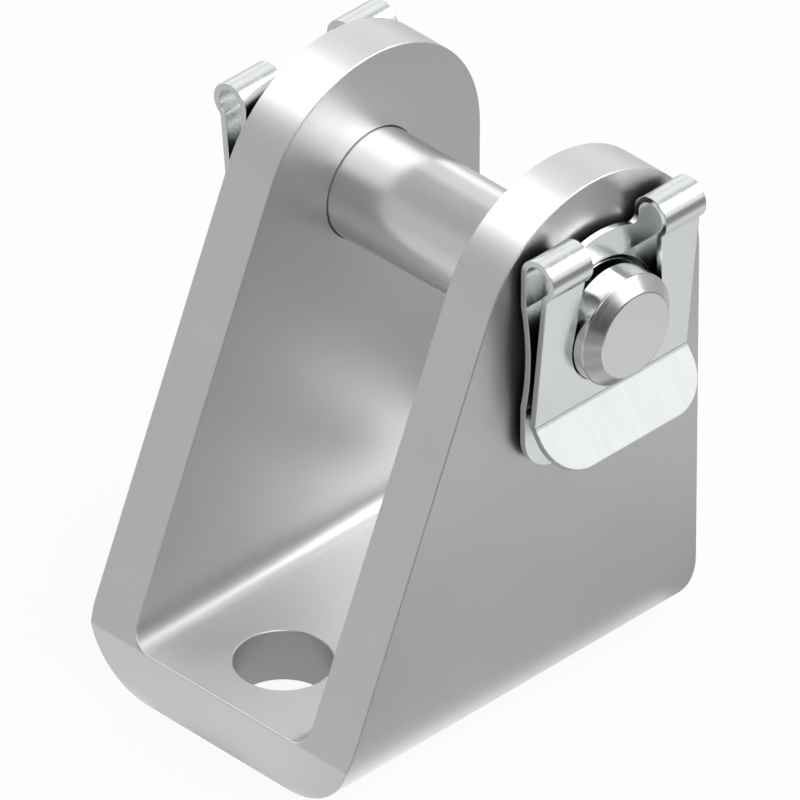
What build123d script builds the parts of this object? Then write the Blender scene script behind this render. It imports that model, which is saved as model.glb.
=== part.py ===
from build123d import *
import math
import os

# Swivel foot mount for a round cylinder, in millimetres.
# X runs along the pin, Y from the sloping front to the back, Z up.
# The origin is the centre of the base's underside.

# Bracket: one plate folded into a U, with two round-topped ears
plate = 4.0  # thickness of the plate
clevis_gap = 16.1  # clear width between the ears
base_length = 32.0  # front to back
pin_height = 30.0  # pin axis above the underside
ear_radius = 10.0  # round top of an ear, about the pin axis
front_edge = 4.0  # upright front edge, below the slope
front_corner_round = 0.3  # where the front edge turns into the slope
bend_inside = 1.5  # inner radius of the two folds
bolt_hole = 6.6  # diameter
bolt_spacing = 20.0  # front hole to back hole
plate_edge_break = 0.07  # narrow bevel round the stamped plate

# Pin: turned, with one groove near each end
pin_diameter = 8.0
pin_bore_clearance = 0.05  # radial, in the ears
pin_head = 2.6  # from the groove to the end face
pin_chamfer = 0.88  # along the pin
pin_end_diameter = 6.1  # flat end face
pin_edge_break = 0.06
groove_depth = 1.05
groove_play = 0.05  # along the pin, at each wall of the groove

# Retaining clip: one strip of spring sheet, folded over two loops.
# Distances are from the ear's outer face, heights are from the pin axis.
sheet = 0.45  # thickness
clip_width = 13.9
clip_corner = 3.0  # corner radius at the foot and at the tab
standoff = 0.55  # ear to back leaf
foot_drop = 9.5  # foot of the back leaf below the pin axis
bow = 0.42  # how far the back leaf bows away from the ear
bow_half_height = 4.0
fork_clearance = 0.05  # radial, beside the pin's groove
eye_clearance = 0.35  # radial, over the pin, above the fork
lip_round = 0.3  # corners where the fork opens into the eye
crest_radius = 6.45  # top edge of the back leaf, about the pin axis
crest_fillet = 0.5
loop_radius = 1.48  # outside
loop_height = 6.6  # loop centre
loop_gap = 6.7  # clear width between the two loops
loop_wrap = 50.0  # degrees past the horizontal
neck = 0.2  # straight stretch from loop to front leaf
neck_radius = 0.3  # at the middle of the sheet
front_lean = 5.5  # degrees towards the ear
window_clearance = 0.08  # radial, round the pin's end
tab_bend_drop = 5.1  # bend of the tab below the pin axis
tab_bend_radius = 0.35  # at the middle of the sheet
tab_angle = 35.0  # degrees from upright
tab_length = 4.05

smooth_angle = 5.0  # degrees, below which two faces count as one surface

# Places that follow from the sizes
pin_y = base_length / 2 - ear_radius
ear_outside = clevis_gap / 2 + plate
bend_outside = bend_inside + plate
total_height = pin_height + ear_radius
pin_radius = pin_diameter / 2
groove_radius = pin_radius - groove_depth
fork_half_width = groove_radius + fork_clearance
grip_height = math.sqrt(pin_radius**2 - fork_half_width**2)  # above it the fork is clear of the shank
bow_radius = (bow_half_height**2 + bow**2) / (2 * bow)
bow_at_grip = bow - bow_radius + math.sqrt(bow_radius**2 - grip_height**2)
groove_start = ear_outside + standoff + bow_at_grip - groove_play
groove_end = ear_outside + standoff + bow + sheet + groove_play
pin_end = groove_end + pin_head
clip_half_width = clip_width / 2
eye_radius = pin_radius + eye_clearance
window_radius = pin_radius + window_clearance
loop_mid_radius = loop_radius - sheet / 2
leaf_mid = standoff + sheet / 2
reach = 2 * (loop_height + loop_radius + foot_drop)  # longer than the clip

# Points of the clip's middle line in its side view: distance from the ear, height from the pin axis
wrap = math.radians(loop_wrap)
lean = math.radians(front_lean)
tilt = math.radians(tab_angle)
loop_start = Vector(leaf_mid, loop_height)
loop_centre = loop_start + Vector(loop_mid_radius, 0)
loop_top = loop_centre + Vector(0, loop_mid_radius)
loop_front = loop_centre + Vector(loop_mid_radius, 0)
loop_end = loop_centre + Vector(math.cos(wrap), -math.sin(wrap)) * loop_mid_radius
kink = loop_end + Vector(-math.sin(wrap), -math.cos(wrap)) * neck
leaf_drop = kink.Y + tab_bend_drop
tab_bend = kink + Vector(-leaf_drop * math.tan(lean), -leaf_drop)
tab_tip = tab_bend + Vector(math.sin(tilt), -math.cos(tilt)) * tab_length


def sharp_edges(solid):
    """Edges where two faces meet at an angle, without the seams where one face runs on into the next."""
    sharp = []
    for edge in solid.edges():
        middle = edge @ 0.5
        sides = [face for face in solid.faces() if any(edge.is_same(other) for other in face.edges())]
        if len(sides) == 2:
            turn = sides[0].normal_at(middle).get_angle(sides[1].normal_at(middle))
            if turn > smooth_angle:
                sharp.append(edge)
    return sharp


def touch_point(point, centre, radius, side):
    """Where a line from a point touches a circle: side is 1 for left, seen from the centre, -1 for right."""
    away = point - centre
    turn = side * math.degrees(math.acos(radius / away.length))
    return centre + away.normalized().rotate(Axis.Z, turn) * radius


def fold_profile():
    """Section of the folded plate across the pin's direction, in the XZ plane."""
    outside = Pos(0, total_height / 2) * Rectangle(2 * ear_outside, total_height)
    outside = fillet(outside.vertices().group_by(Axis.Y)[0], bend_outside)
    inside = Pos(0, plate + total_height / 2) * Rectangle(clevis_gap, total_height)
    inside = fillet(inside.vertices().group_by(Axis.Y)[0], bend_inside)
    return Plane.XZ * (outside - inside)


def side_outline():
    """Outline of an ear seen along the pin: upright foot, slope, round top and upright back."""
    foot = Vector(-base_length / 2, front_edge)
    axis = Vector(pin_y, pin_height)
    touch = touch_point(foot, axis, ear_radius, -1)
    crown = Vector(pin_y, total_height)
    back = Vector(pin_y + ear_radius, pin_height)
    edges = Polyline((pin_y + ear_radius, 0), (-base_length / 2, 0), foot, touch)
    edges += RadiusArc(touch, crown, ear_radius)
    edges += RadiusArc(crown, back, ear_radius)
    edges += Line(back, (pin_y + ear_radius, 0))
    outline = make_face(edges)
    corner = outline.vertices().sort_by_distance(foot)[0]
    return Plane.YZ * fillet(corner, front_corner_round)


def foot_bracket():
    """The folded plate, with its pin bores and bolt holes and all its edges broken."""
    folded = extrude(fold_profile(), base_length, both=True)
    outline = extrude(side_outline(), 2 * ear_outside, both=True)
    bracket = folded & outline
    bore = Plane.YZ * Pos(pin_y, pin_height) * Circle(pin_radius + pin_bore_clearance)
    bracket -= extrude(bore, 2 * ear_outside, both=True)
    for hole_y in (-bolt_spacing / 2, bolt_spacing / 2):
        bracket -= extrude(Pos(0, hole_y) * Circle(bolt_hole / 2), 2 * plate, both=True)
    return chamfer(sharp_edges(bracket), plate_edge_break)


def clevis_pin():
    """The pin, turned about its own axis, with a groove for a clip at each end."""
    half = Polyline(
        (0, 0),
        (0, pin_radius),
        (groove_start, pin_radius),
        (groove_start, groove_radius),
        (groove_end, groove_radius),
        (groove_end, pin_radius),
        (pin_end - pin_chamfer, pin_radius),
        (pin_end, pin_end_diameter / 2),
        (pin_end, 0),
        close=True,
    )
    section = make_face(half)
    rim = [v for v in section.vertices() if v.Y > groove_radius and v.X > 0]
    section = chamfer(rim, pin_edge_break)
    end = revolve(Plane.XZ * section, Axis.X)
    pin = end + mirror(end, Plane.YZ)
    return Pos(0, pin_y, pin_height) * pin


def strip(path):
    """A path in the clip's side view, thickened to the sheet and drawn out to the clip's width."""
    return extrude(Plane.XZ * trace(path, sheet), clip_half_width, both=True)


def back_outline():
    """The back leaf face-on: a fork below the pin axis, an eye above it and a crest between the loops."""
    outline = Pos(0, reach / 2 - foot_drop) * Rectangle(clip_width, reach)
    outline = fillet(outline.vertices().group_by(Axis.Y)[0], clip_corner)
    outline -= Pos(0, -reach / 2) * Rectangle(2 * fork_half_width, reach)
    upper_half = Pos(0, reach / 2) * Rectangle(reach, reach)
    outline -= Circle(eye_radius) & upper_half
    outline -= Pos(0, reach / 2) * Rectangle(loop_gap, reach) - Circle(crest_radius)
    lips = [corner for corner in outline.vertices() if abs(corner.Y) < sheet]
    outline = fillet(lips, lip_round)
    crest_ends = [corner for corner in outline.vertices() if eye_radius < corner.Y < crest_radius]
    return fillet(crest_ends, crest_fillet)


def back_leaf():
    """The leaf beside the ear, bowed into the pin's groove, and the rear quarter of both loops."""
    low = Vector(leaf_mid, -bow_half_height)
    high = Vector(leaf_mid, bow_half_height)
    path = Line((leaf_mid, -foot_drop), low)
    path += ThreePointArc(low, (leaf_mid + bow, 0), high)
    path += Line(high, loop_start)
    path += RadiusArc(loop_start, loop_top, loop_mid_radius)
    return strip(path) & extrude(Plane.YZ * back_outline(), reach)


def window():
    """The front leaf's opening face-on: round the pin's end and open between the loops."""
    corner = Vector(loop_gap / 2, loop_height)
    touch = touch_point(corner, Vector(0, 0), window_radius, -1)
    right = [touch, corner, Vector(corner.X, reach)]
    left = [Vector(-point.X, point.Y) for point in reversed(right)]
    edges = ThreePointArc(left[-1], (0, -window_radius), touch)
    edges += Polyline(*right, *left)
    return make_face(edges)


def tab_corners():
    """What is cut from the two corners of the finger tab to round them, across the tab's own plane."""
    outward = Vector(math.cos(tilt), 0, math.sin(tilt))
    tab_plane = Plane((tab_bend.X, 0, tab_bend.Y), x_dir=(0, 1, 0), z_dir=outward)
    square = Rectangle(clip_width, 2 * tab_length)
    rounded = fillet(square.vertices().group_by(Axis.Y)[0], clip_corner)
    beyond = Pos(0, -tab_length) * square
    return extrude(tab_plane * (beyond - rounded), 2 * sheet, both=True)


def front_leaf():
    """The leaf outside the pin's end: the rest of both loops, the window and the finger tab."""
    path = RadiusArc(loop_top, loop_front, loop_mid_radius)
    path += RadiusArc(loop_front, loop_end, loop_mid_radius)
    path += FilletPolyline(loop_end, kink, tab_bend, tab_tip, radius=[neck_radius, tab_bend_radius])
    return strip(path) - extrude(Plane.YZ * window(), reach) - tab_corners()


def retaining_clip():
    """One folded spring clip, placed on the pin's right end."""
    return Pos(ear_outside, pin_y, pin_height) * (back_leaf() + front_leaf())


os.makedirs("parts", exist_ok=True)
right_clip = retaining_clip()
export_step(foot_bracket(), "parts/foot_bracket.step")
export_step(clevis_pin(), "parts/clevis_pin.step")
export_step(right_clip, "parts/retaining_clip_right.step")
export_step(mirror(right_clip, Plane.YZ), "parts/retaining_clip_left.step")
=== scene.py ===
import math

import bpy
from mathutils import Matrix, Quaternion, Vector

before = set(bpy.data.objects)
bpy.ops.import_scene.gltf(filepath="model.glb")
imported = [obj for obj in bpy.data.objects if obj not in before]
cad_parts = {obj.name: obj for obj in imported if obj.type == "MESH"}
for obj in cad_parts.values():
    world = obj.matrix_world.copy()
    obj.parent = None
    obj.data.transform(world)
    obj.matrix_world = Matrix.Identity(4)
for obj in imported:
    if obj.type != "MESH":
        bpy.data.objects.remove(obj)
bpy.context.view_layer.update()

MM = 0.001

# Camera, fitted to the photograph's edges
VIEW_AZIMUTH = 45.17
VIEW_ELEVATION = 35.38
VIEW_ROLL = 0.12
VIEW_DISTANCE = 1.615
VIEW_TARGET = Vector((-0.263, 0.902, 19.158)) * MM
SENSOR_WIDTH = 36.0
FOCAL_LENGTH = 1119.9
CAMERA_NEAREST = 0.1
CAMERA_FARTHEST = 10.0

# Floor: white to the camera, and a pale uneven sheet to the metal. The metal sees one level nearby and one
# far off, and each turn says how much a level rises towards +X and +Y. It also sees a ring in between, a
# glow under the two folds, and round patches: centre, radii between which a patch fades, strength added
FLOOR_HALF_SIZE = 1.5
FLOOR_SINK = 0.02 * MM
FLOOR_COLOR = (0.82, 0.82, 0.82, 1.0)
FLOOR_SHOWN_WHITE = 0.92
FLOOR_MIRRORED_SHARE = 0.9
FLOOR_NEAR = 0.58
FLOOR_NEAR_TURN = (-0.12, -0.16, 0.0)
FLOOR_FAR = 0.43
FLOOR_FAR_TURN = (-0.30, -0.02, 0.0)
FLOOR_FAR_RANGE = (60 * MM, 120 * MM)
FLOOR_RING = 0.03
FLOOR_RING_TURN = (0.24, 0.12, 0.0)
FLOOR_RING_RISE = (30 * MM, 42 * MM)
FLOOR_RING_FALL = (60 * MM, 90 * MM)
FLOOR_PATCHES = {
    "front_right": ((38 * MM, -30 * MM, 0.0), (20 * MM, 40 * MM), -0.30),
    "back": ((18 * MM, 55 * MM, 0.0), (12 * MM, 30 * MM), -0.10),
    "front": ((12 * MM, -19 * MM, 0.0), (4 * MM, 26 * MM), 0.17),
    "right": ((24 * MM, 10 * MM, 0.0), (8 * MM, 20 * MM), 0.05),
    "right_corner": ((50 * MM, -22 * MM, 0.0), (8 * MM, 20 * MM), -0.15),
    "behind": ((4 * MM, 26 * MM, 0.0), (5 * MM, 16 * MM), -0.08),
    "front_hole": ((0.0, -10 * MM, 0.0), (4 * MM, 8 * MM), -0.42),
    "back_hole": ((0.0, 10 * MM, 0.0), (4 * MM, 8 * MM), 0.15),
}
FOLD_GLOW = 0.62
FOLD_GLOW_INNER = (5.5 * MM, 7.5 * MM)
FOLD_GLOW_OUTER = (9.5 * MM, 15.0 * MM)
FOLD_GLOW_ENDS = (15.0 * MM, 17.0 * MM)

# Studio: direction of each patch, half angle at full strength and width of the soft edge in degrees, and
# the strength that it adds, or takes away where it is below zero
WORLD_STRENGTH = 0.58
STUDIO_COLOR = (0.8, 0.8, 0.8, 1.0)
BACKDROP_COLOR = (1.0, 1.0, 1.0, 1.0)
STUDIO = {
    "overhead": ((-0.01, 0.07, 1.00), 21, 8, 1.2),
    "back_window": ((0.20, 0.78, 0.59), 7, 5, 5.0),
    "left_wall": ((-0.91, 0.16, 0.38), 19, 8, 0.8),
    "left_high": ((-0.30, 0.52, 0.80), 3, 14, 0.5),
    "back_left": ((-0.70, 0.58, 0.42), 16, 14, 0.42),
    "front_right": ((0.47, -0.42, 0.77), 13, 12, 2.5),
    "right_high": ((0.54, 0.20, 0.82), 8, 13, 3.0),
    "back_right": ((0.50, 0.59, 0.64), 11, 8, 2.7),
    "back_low": ((0.72, 0.60, 0.35), 16, 8, 0.5),
    "dark_right": ((0.98, -0.18, 0.01), 31, 8, -0.48),
    "dark_front": ((0.11, -0.64, 0.76), 20, 13, -1.4),
    "front_top": ((0.01, -0.41, 0.91), 17, 14, -1.0),
    "front_left": ((-0.58, -0.81, 0.00), 22, 20, 0.12),
    "dark_back_right": ((0.86, 0.50, -0.02), 6, 10, -0.2),
    "low_left": ((-0.56, 0.82, 0.08), 10, 12, 0.60),
}
RIM_LIGHT_TOWARD = (-0.58, -0.12, 0.81)
RIM_LIGHT_DISTANCE = 0.5
RIM_LIGHT_SIZE = 0.30
RIM_LIGHT_POWER = 0.70

# Metals: range of colour, worn edges, range of roughness, radius of the rounded edges, fineness of each
# noise per metre along X, Y and Z, and strength and height of the bump

# Satin plated plate
PLATE_DARK = (0.67, 0.67, 0.675, 1.0)
PLATE_LIGHT = (0.72, 0.72, 0.72, 1.0)
PLATE_WORN = (0.84, 0.84, 0.84, 1.0)
PLATE_ROUGH = (0.38, 0.44)
PLATE_EDGE = 0.05 * MM
PLATE_CLOUDS = (160, 160, 160)
PLATE_GRAIN = (4000, 9000, 9000)
PLATE_GRAIN_SHARE = 0.5
PLATE_BUMP = (0.15, 0.004 * MM)

# Turned and polished pin
PIN_DARK = (0.77, 0.78, 0.78, 1.0)
PIN_LIGHT = (0.84, 0.85, 0.85, 1.0)
PIN_ROUGH = (0.17, 0.24)
PIN_EDGE = 0.05 * MM
PIN_RINGS = (7000, 7000, 0)
PIN_RINGS_SHARE = 0.6
PIN_STAINS = (220, 220, 220)
PIN_BUMP = (0.2, 0.002 * MM)
PIN_AXIS = Vector((0, 6, 30)) * MM

# Bright spring sheet
SHEET_DARK = (0.87, 0.90, 0.90, 1.0)
SHEET_LIGHT = (0.93, 0.95, 0.95, 1.0)
SHEET_WORN = (0.96, 0.97, 0.97, 1.0)
SHEET_ROUGH = (0.16, 0.23)
SHEET_EDGE = 0.10 * MM
SHEET_GRAIN = (300, 9000, 300)
SHEET_SMEARS = (200, 500, 200)
SHEET_BUMP = (0.10, 0.002 * MM)
SHEARED_COLOR = (0.76, 0.78, 0.78, 1.0)
SHEARED_FACING = (0.3, 0.6)
# Painted shade along the bend of the finger tab: its colour, height, half width and where it starts along
# X
CREASE_SHADE_COLOR = (0.62, 0.64, 0.64, 1.0)
CREASE_HEIGHT = 24.88 * MM
CREASE_HALF_WIDTH = (0.03 * MM, 0.17 * MM)
CREASE_START = (13.4 * MM, 13.7 * MM)

# Painted shade: dark colour in the narrow gaps between clip, pin and plate, outside the ears, standing in
# for contact shadow
GAP_SHADE_COLOR = (0.04, 0.042, 0.045, 1.0)
GAP_SHADE_REACH = 1.6 * MM
GAP_SHADE_OPENNESS = (0.22, 0.48)
GAP_SHADE_START = (11.9 * MM, 12.0 * MM)
GAP_SHADE_SAMPLES = 8

# Shared by the metals: where most of a noise lies, and how far a rounded edge turns from the flat face
NOISE_MIDDLE = (0.3, 0.7)
NOISE_DETAIL = 2.0
WORN_TURN = (0.90, 0.99)
EDGE_SAMPLES = 6

# Sockets of the Mix node when it mixes colours
MIX_A = 6
MIX_B = 7
MIX_RESULT = 2


def link(tree, source, target):
    tree.links.new(source, target)


def new_material(name):
    material = bpy.data.materials.new(name)
    material.use_nodes = True
    tree = material.node_tree
    tree.nodes.clear()
    return material, tree


def node(tree, kind, **settings):
    made = tree.nodes.new(kind)
    for name, value in settings.items():
        if name in made.inputs:
            made.inputs[name].default_value = value
        else:
            setattr(made, name, value)
    return made


def feed(tree, socket, value):
    """Gives a socket a number, or the link that brings it one."""
    if isinstance(value, bpy.types.NodeSocket):
        link(tree, value, socket)
    else:
        socket.default_value = value


def math_of(tree, operation, *values):
    made = node(tree, "ShaderNodeMath", operation=operation)
    for socket, value in zip(made.inputs, values):
        feed(tree, socket, value)
    return made.outputs["Value"]


def vector_of(tree, operation, *values):
    made = node(tree, "ShaderNodeVectorMath", operation=operation)
    for socket, value in zip(made.inputs, values):
        feed(tree, socket, value)
    return made


def ranged(tree, value, low, high, bottom, top):
    """Takes a value from one range to another, softly at both ends."""
    made = node(tree, "ShaderNodeMapRange", interpolation_type="SMOOTHSTEP")
    link(tree, value, made.inputs["Value"])
    made.inputs["From Min"].default_value = low
    made.inputs["From Max"].default_value = high
    made.inputs["To Min"].default_value = bottom
    made.inputs["To Max"].default_value = top
    return made.outputs["Result"]


def glow_toward(tree, direction, toward, inner, soft, strength):
    """Light from a round patch of the studio, full inside and fading over its soft edge."""
    facing = vector_of(tree, "DOT_PRODUCT", direction, Vector(toward).normalized())
    fade = math.cos(math.radians(inner + soft))
    full = math.cos(math.radians(inner))
    return ranged(tree, facing.outputs["Value"], fade, full, 0.0, strength)


def mixed_shaders(tree, share, first, second):
    mix = node(tree, "ShaderNodeMixShader")
    link(tree, share, mix.inputs[0])
    link(tree, first.outputs[0], mix.inputs[1])
    link(tree, second.outputs[0], mix.inputs[2])
    return mix


def use_shader(tree, shader, output="ShaderNodeOutputMaterial"):
    link(tree, shader.outputs[0], node(tree, output).inputs["Surface"])


def make_world():
    """White to the camera, and patches of light and dark to the object."""
    world = bpy.data.worlds.new("studio")
    bpy.context.scene.world = world
    world.use_nodes = True
    tree = world.node_tree
    tree.nodes.clear()
    direction = node(tree, "ShaderNodeTexCoord").outputs["Generated"]
    strength = WORLD_STRENGTH
    for patch in STUDIO.values():
        strength = math_of(tree, "ADD", glow_toward(tree, direction, *patch), strength)
    strength = math_of(tree, "MAXIMUM", strength, 0.0)
    studio = node(tree, "ShaderNodeBackground", Color=STUDIO_COLOR)
    link(tree, strength, studio.inputs["Strength"])
    backdrop = node(tree, "ShaderNodeBackground", Color=BACKDROP_COLOR, Strength=1.0)
    rays = node(tree, "ShaderNodeLightPath")
    mix = mixed_shaders(tree, rays.outputs["Is Camera Ray"], studio, backdrop)
    use_shader(tree, mix, "ShaderNodeOutputWorld")


def parts_of(tree, vector):
    """The parts of a vector without their signs, so that both halves of the object look alike."""
    made = node(tree, "ShaderNodeSeparateXYZ")
    link(tree, vector_of(tree, "ABSOLUTE", vector).outputs["Vector"], made.inputs[0])
    return made.outputs


def mixed(tree, share, first, second):
    """A share of one number and the rest of another."""
    rest = math_of(tree, "MULTIPLY", second, 1.0 - share)
    return math_of(tree, "MULTIPLY_ADD", first, share, rest)


def turned(tree, away, level, turn):
    """A level that rises towards one side of the floor."""
    return math_of(tree, "ADD", vector_of(tree, "DOT_PRODUCT", away, turn).outputs["Value"], level)


def mirrored_floor(tree):
    """How bright the metal sees the floor."""
    place = node(tree, "ShaderNodeTexCoord").outputs["Object"]
    away = vector_of(tree, "NORMALIZE", place).outputs["Vector"]
    distance = vector_of(tree, "LENGTH", place).outputs["Value"]
    near = turned(tree, away, FLOOR_NEAR, FLOOR_NEAR_TURN)
    far = turned(tree, away, FLOOR_FAR, FLOOR_FAR_TURN)
    share = ranged(tree, distance, *FLOOR_FAR_RANGE, 0.0, 1.0)
    level = math_of(tree, "MULTIPLY_ADD", share, math_of(tree, "SUBTRACT", far, near), near)
    ring = turned(tree, away, FLOOR_RING, FLOOR_RING_TURN)
    ring = math_of(tree, "MULTIPLY", ring, ranged(tree, distance, *FLOOR_RING_RISE, 0.0, 1.0))
    ring = math_of(tree, "MULTIPLY", ring, ranged(tree, distance, *FLOOR_RING_FALL, 1.0, 0.0))
    parts = parts_of(tree, place)
    glow = ranged(tree, parts["X"], *FOLD_GLOW_INNER, 0.0, FOLD_GLOW)
    glow = math_of(tree, "MULTIPLY", glow, ranged(tree, parts["X"], *FOLD_GLOW_OUTER, 1.0, 0.0))
    glow = math_of(tree, "MULTIPLY", glow, ranged(tree, parts["Y"], *FOLD_GLOW_ENDS, 1.0, 0.0))
    level = math_of(tree, "ADD", math_of(tree, "ADD", level, ring), glow)
    for centre, fade, strength in FLOOR_PATCHES.values():
        aside = vector_of(tree, "DISTANCE", place, centre).outputs["Value"]
        level = math_of(tree, "ADD", level, ranged(tree, aside, *fade, strength, 0.0))
    return level


def make_floor():
    """A floor that keeps the object's shadow and shows its own levels to the camera and to the metal."""
    bpy.ops.mesh.primitive_plane_add(size=2 * FLOOR_HALF_SIZE, location=(0, 0, -FLOOR_SINK))
    floor = bpy.context.object
    floor.name = "studio_floor"
    material, tree = new_material("floor_paper")
    material.cycles.emission_sampling = "NONE"
    paper = node(tree, "ShaderNodeBsdfDiffuse", Color=FLOOR_COLOR)
    rays = node(tree, "ShaderNodeLightPath")
    seen = rays.outputs["Is Camera Ray"]
    mirrored = math_of(tree, "ADD", rays.outputs["Is Glossy Ray"], rays.outputs["Is Transmission Ray"])
    white = node(tree, "ShaderNodeEmission")
    unseen = math_of(tree, "SUBTRACT", 1.0, seen)
    link(tree, math_of(tree, "MULTIPLY_ADD", mirrored_floor(tree), unseen, seen), white.inputs["Strength"])
    shown = math_of(tree, "MULTIPLY", seen, FLOOR_SHOWN_WHITE)
    share = math_of(tree, "MULTIPLY_ADD", mirrored, FLOOR_MIRRORED_SHARE, shown)
    use_shader(tree, mixed_shaders(tree, share, paper, white))
    floor.data.materials.append(material)


def make_camera():
    """Camera at the photograph's viewing angle, so far away that the view is almost parallel."""
    azimuth = math.radians(VIEW_AZIMUTH)
    elevation = math.radians(VIEW_ELEVATION)
    back = Vector((
        math.sin(azimuth) * math.cos(elevation),
        -math.cos(azimuth) * math.cos(elevation),
        math.sin(elevation),
    ))
    data = bpy.data.cameras.new("photo_camera")
    data.sensor_width = SENSOR_WIDTH
    data.lens = FOCAL_LENGTH
    data.clip_start = CAMERA_NEAREST
    data.clip_end = CAMERA_FARTHEST
    camera = bpy.data.objects.new("photo_camera", data)
    bpy.context.scene.collection.objects.link(camera)
    camera.location = VIEW_TARGET + back * VIEW_DISTANCE
    facing = (-back).to_track_quat("-Z", "Y")
    camera.rotation_mode = "QUATERNION"
    camera.rotation_quaternion = facing @ Quaternion((0, 0, 1), math.radians(VIEW_ROLL))
    bpy.context.scene.camera = camera


def make_rim_light():
    """A lamp for the satin plate alone, which whitens the round tops of the ears on their front side."""
    data = bpy.data.lights.new("rim_light", "AREA")
    data.shape = "DISK"
    data.size = RIM_LIGHT_SIZE
    data.energy = RIM_LIGHT_POWER
    lamp = bpy.data.objects.new("rim_light", data)
    bpy.context.scene.collection.objects.link(lamp)
    toward = Vector(RIM_LIGHT_TOWARD).normalized()
    lamp.location = VIEW_TARGET + toward * RIM_LIGHT_DISTANCE
    lamp.rotation_euler = toward.to_track_quat("Z", "Y").to_euler()
    lit = bpy.data.collections.new("lit_by_rim_light")
    lit.objects.link(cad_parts["foot_bracket"])
    lamp.light_linking.receiver_collection = lit


def noise(tree, place, per_metre):
    """Noise with its own fineness along X, Y and Z, so that it can be drawn out into grain."""
    scaled = vector_of(tree, "MULTIPLY", place, per_metre).outputs["Vector"]
    made = node(tree, "ShaderNodeTexNoise", Scale=1.0, Detail=NOISE_DETAIL)
    link(tree, scaled, made.inputs["Vector"])
    return made.outputs["Fac"]


def blend(tree, factor, first, second):
    made = node(tree, "ShaderNodeMix", data_type="RGBA")
    link(tree, factor, made.inputs["Factor"])
    feed(tree, made.inputs[MIX_A], first)
    feed(tree, made.inputs[MIX_B], second)
    return made.outputs[MIX_RESULT]


def edge_wear(tree, rounded):
    """One along the edges, where the rounded surface leaves the flat one, and nothing elsewhere."""
    flat = node(tree, "ShaderNodeNewGeometry").outputs["Normal"]
    agree = vector_of(tree, "DOT_PRODUCT", rounded, flat).outputs["Value"]
    return ranged(tree, agree, *WORN_TURN, 1.0, 0.0)


def round_edges(tree, radius):
    """The normal of a surface whose sharp edges look rounded."""
    return node(tree, "ShaderNodeBevel", Radius=radius, samples=EDGE_SAMPLES).outputs["Normal"]


def bumped(tree, height, strength, distance, normal):
    made = node(tree, "ShaderNodeBump", Strength=strength, Distance=distance)
    link(tree, height, made.inputs["Height"])
    link(tree, normal, made.inputs["Normal"])
    return made.outputs["Normal"]


def with_painted_gap_shade(tree, place, color):
    """The colour of the bare metal, with painted shade where the surface is nearly shut in by its
    neighbours.
    """
    shelter = node(tree, "ShaderNodeAmbientOcclusion", samples=GAP_SHADE_SAMPLES, Distance=GAP_SHADE_REACH)
    gap_shade = ranged(tree, shelter.outputs["AO"], *GAP_SHADE_OPENNESS, 1.0, 0.0)
    outside = ranged(tree, parts_of(tree, place)["X"], *GAP_SHADE_START, 0.0, 1.0)
    gap_shade = math_of(tree, "MULTIPLY", gap_shade, outside)
    return blend(tree, gap_shade, color, GAP_SHADE_COLOR)


def metal(tree, color, roughness, normal):
    shader = node(tree, "ShaderNodeBsdfPrincipled", Metallic=1.0)
    link(tree, color, shader.inputs["Base Color"])
    link(tree, roughness, shader.inputs["Roughness"])
    link(tree, normal, shader.inputs["Normal"])
    use_shader(tree, shader)


def plate_steel():
    """Satin plating on cold-rolled plate: soft clouds, a fine grain along the pin and burnished edges."""
    material, tree = new_material("plate_steel_satin")
    place = node(tree, "ShaderNodeTexCoord").outputs["Object"]
    clouds = noise(tree, place, PLATE_CLOUDS)
    grain = noise(tree, place, PLATE_GRAIN)
    rounded = round_edges(tree, PLATE_EDGE)
    wear = math_of(tree, "MULTIPLY", edge_wear(tree, rounded), clouds)
    color = blend(tree, wear, blend(tree, clouds, PLATE_DARK, PLATE_LIGHT), PLATE_WORN)
    mottled = mixed(tree, PLATE_GRAIN_SHARE, grain, clouds)
    roughness = ranged(tree, mottled, *NOISE_MIDDLE, *PLATE_ROUGH)
    normal = bumped(tree, grain, *PLATE_BUMP, rounded)
    # The colour carries painted shade in the narrow gaps next to its neighbours.
    metal(tree, with_painted_gap_shade(tree, place, color), roughness, normal)
    return material


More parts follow.
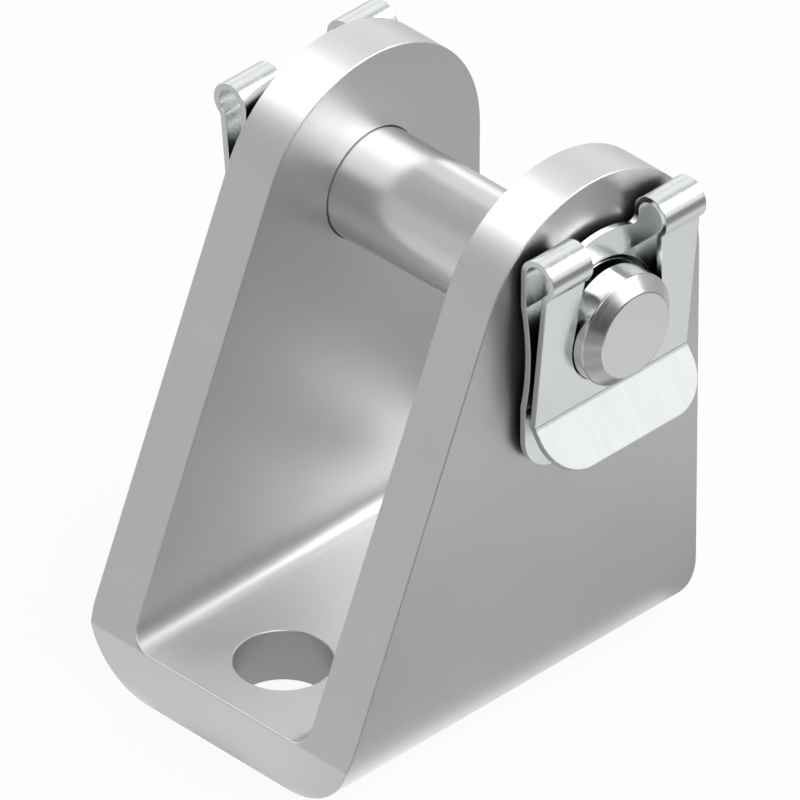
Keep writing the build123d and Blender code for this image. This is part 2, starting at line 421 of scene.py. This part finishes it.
def pin_steel():
    """Turned and polished steel, with fine rings from the lathe about the pin's axis on every face."""
    material, tree = new_material("pin_steel_polished")
    place = node(tree, "ShaderNodeTexCoord").outputs["Object"]
    from_axis = vector_of(tree, "SUBTRACT", place, PIN_AXIS).outputs["Vector"]
    along = node(tree, "ShaderNodeSeparateXYZ")
    link(tree, from_axis, along.inputs[0])
    across = vector_of(tree, "MULTIPLY", from_axis, (0, 1, 1)).outputs["Vector"]
    radius = vector_of(tree, "LENGTH", across).outputs["Value"]
    profile = node(tree, "ShaderNodeCombineXYZ")
    link(tree, along.outputs["X"], profile.inputs["X"])
    link(tree, radius, profile.inputs["Y"])
    rings = noise(tree, profile.outputs["Vector"], PIN_RINGS)
    stains = noise(tree, place, PIN_STAINS)
    rounded = round_edges(tree, PIN_EDGE)
    color = blend(tree, stains, PIN_DARK, PIN_LIGHT)
    mottled = mixed(tree, PIN_RINGS_SHARE, rings, stains)
    roughness = ranged(tree, mottled, *NOISE_MIDDLE, *PIN_ROUGH)
    normal = bumped(tree, rings, *PIN_BUMP, rounded)
    # The colour carries painted shade in the narrow gaps next to its neighbours.
    metal(tree, with_painted_gap_shade(tree, place, color), roughness, normal)
    return material


def crease_shade_mask(tree, place):
    """Painted shade: a dark line along the bend of the finger tab, on the front leaf only."""
    parts = parts_of(tree, place)
    distance = math_of(tree, "ABSOLUTE", math_of(tree, "SUBTRACT", parts["Z"], CREASE_HEIGHT))
    line = ranged(tree, distance, *CREASE_HALF_WIDTH, 1.0, 0.0)
    front = ranged(tree, parts["X"], *CREASE_START, 0.0, 1.0)
    return math_of(tree, "MULTIPLY", line, front)


def spring_steel():
    """Bright spring sheet: grain along the strip, dull sheared edges and painted shade along the bend of
    the tab.
    """
    material, tree = new_material("spring_steel_bright")
    coordinates = node(tree, "ShaderNodeTexCoord")
    place = coordinates.outputs["Object"]
    grain = noise(tree, place, SHEET_GRAIN)
    smears = noise(tree, place, SHEET_SMEARS)
    rounded = round_edges(tree, SHEET_EDGE)
    facing = parts_of(tree, coordinates.outputs["Normal"])
    sheared = ranged(tree, facing["Y"], *SHEARED_FACING, 0.0, 1.0)
    color = blend(tree, smears, SHEET_DARK, SHEET_LIGHT)
    color = blend(tree, sheared, color, SHEARED_COLOR)
    color = blend(tree, edge_wear(tree, rounded), color, SHEET_WORN)
    color = blend(tree, crease_shade_mask(tree, place), color, CREASE_SHADE_COLOR)
    roughness = ranged(tree, grain, *NOISE_MIDDLE, *SHEET_ROUGH)
    normal = bumped(tree, grain, *SHEET_BUMP, rounded)
    # The colour carries painted shade in the narrow gaps next to its neighbours.
    metal(tree, with_painted_gap_shade(tree, place, color), roughness, normal)
    return material


def dress(name, material):
    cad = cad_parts[name]
    cad.data.materials.clear()
    cad.data.materials.append(material)


make_world()
make_floor()
make_camera()
make_rim_light()
dress("foot_bracket", plate_steel())
dress("clevis_pin", pin_steel())
clip_steel = spring_steel()
dress("retaining_clip_right", clip_steel)
dress("retaining_clip_left", clip_steel)

bpy.context.scene.view_settings.view_transform = "Standard"
